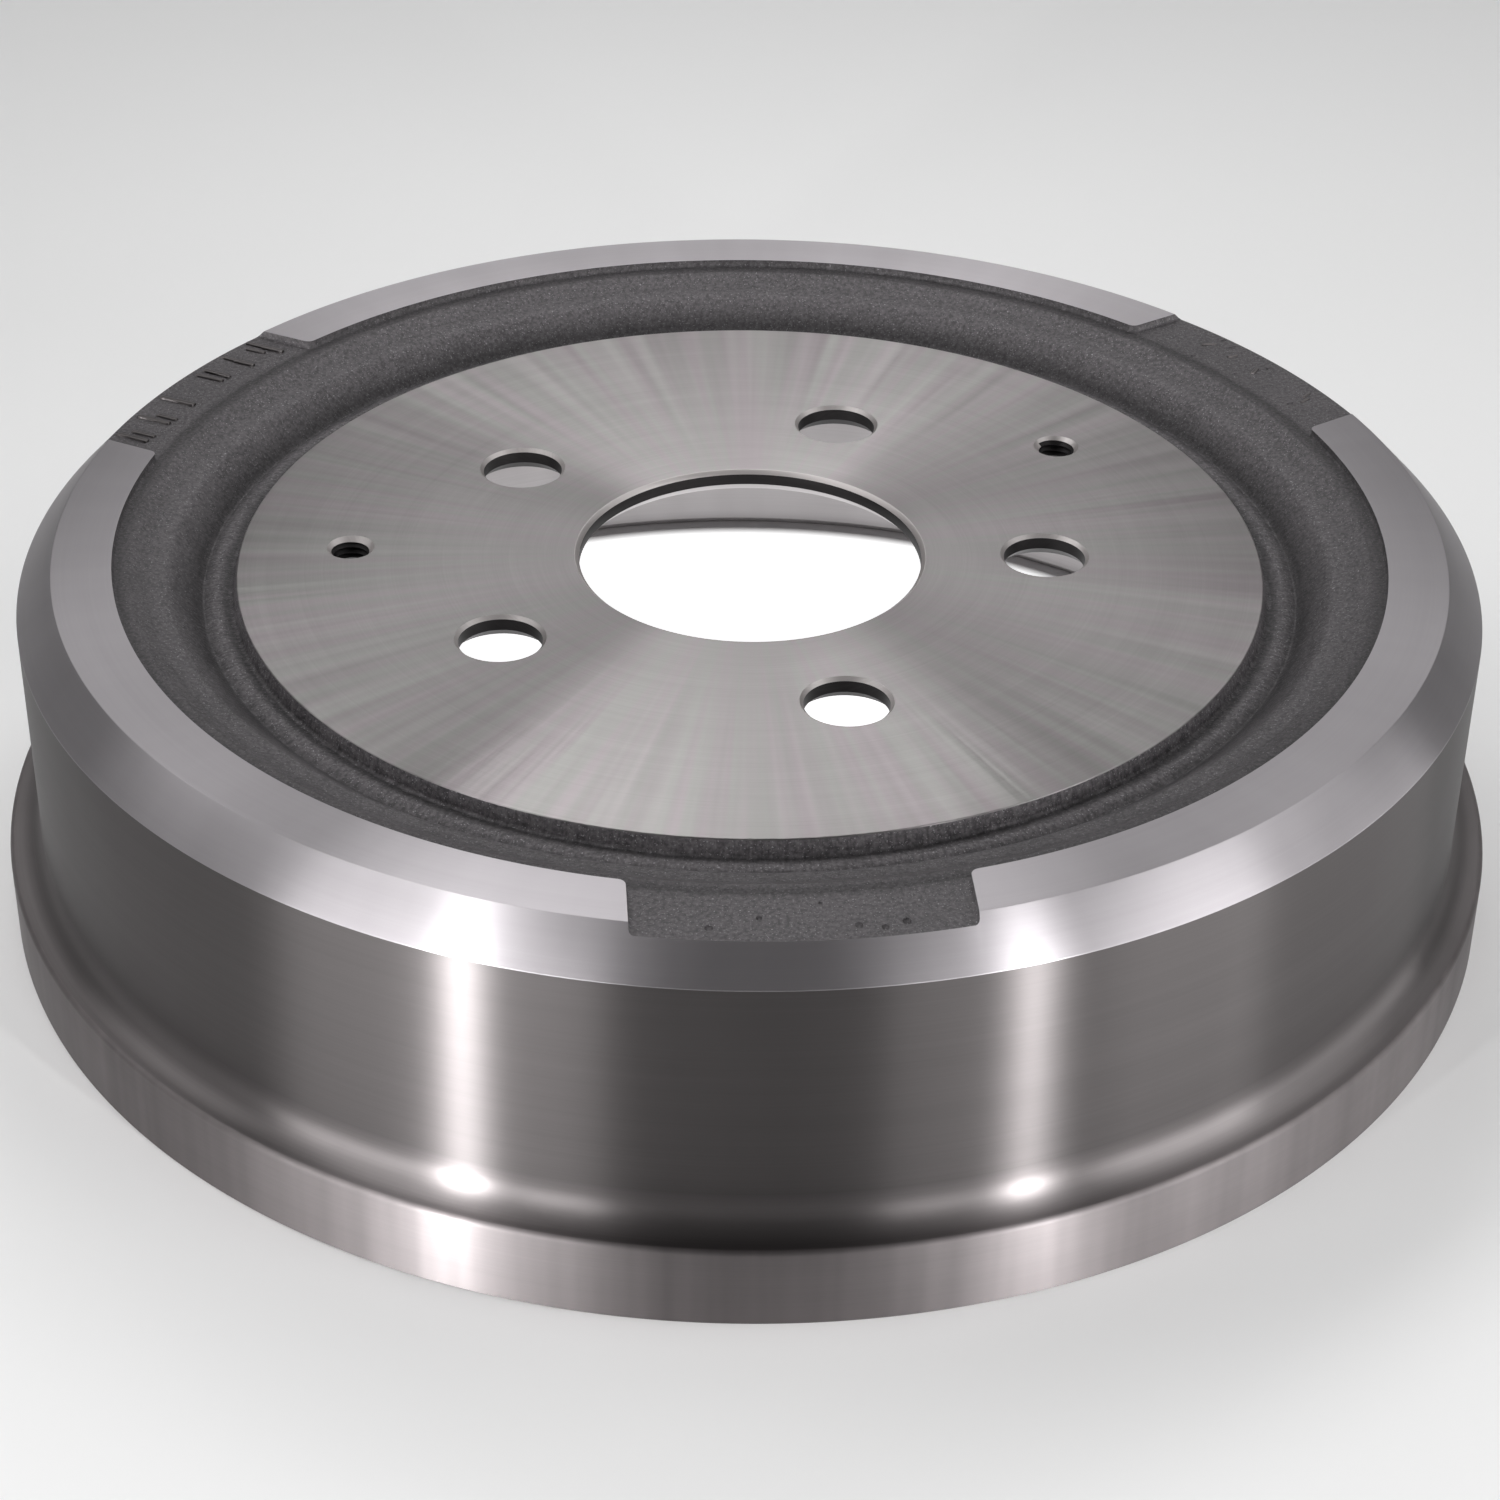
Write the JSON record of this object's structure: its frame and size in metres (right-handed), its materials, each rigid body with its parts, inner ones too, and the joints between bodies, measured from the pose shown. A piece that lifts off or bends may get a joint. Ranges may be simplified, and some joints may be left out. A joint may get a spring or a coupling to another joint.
{
  "type": "brake drum",
  "caption": "Cast-iron brake drum with a turned hub face, a stud circle, a centring bore, a grooved crown and a thickened open rim.",
  "frame": {"origin": "centre of the open rim's end face, on the drum's axis; the drum stands on that face", "axes": "+Z along the axis, out of the wheel face; the first stud hole lies along +X"},
  "size_m": [0.293, 0.293, 0.0723],
  "materials": {
    "cast_iron": "turned faces over an as-cast skin"
  },
  "bodies": {
    "root": {"brake_drum": "cast_iron"}
  },
  "joints": []
}
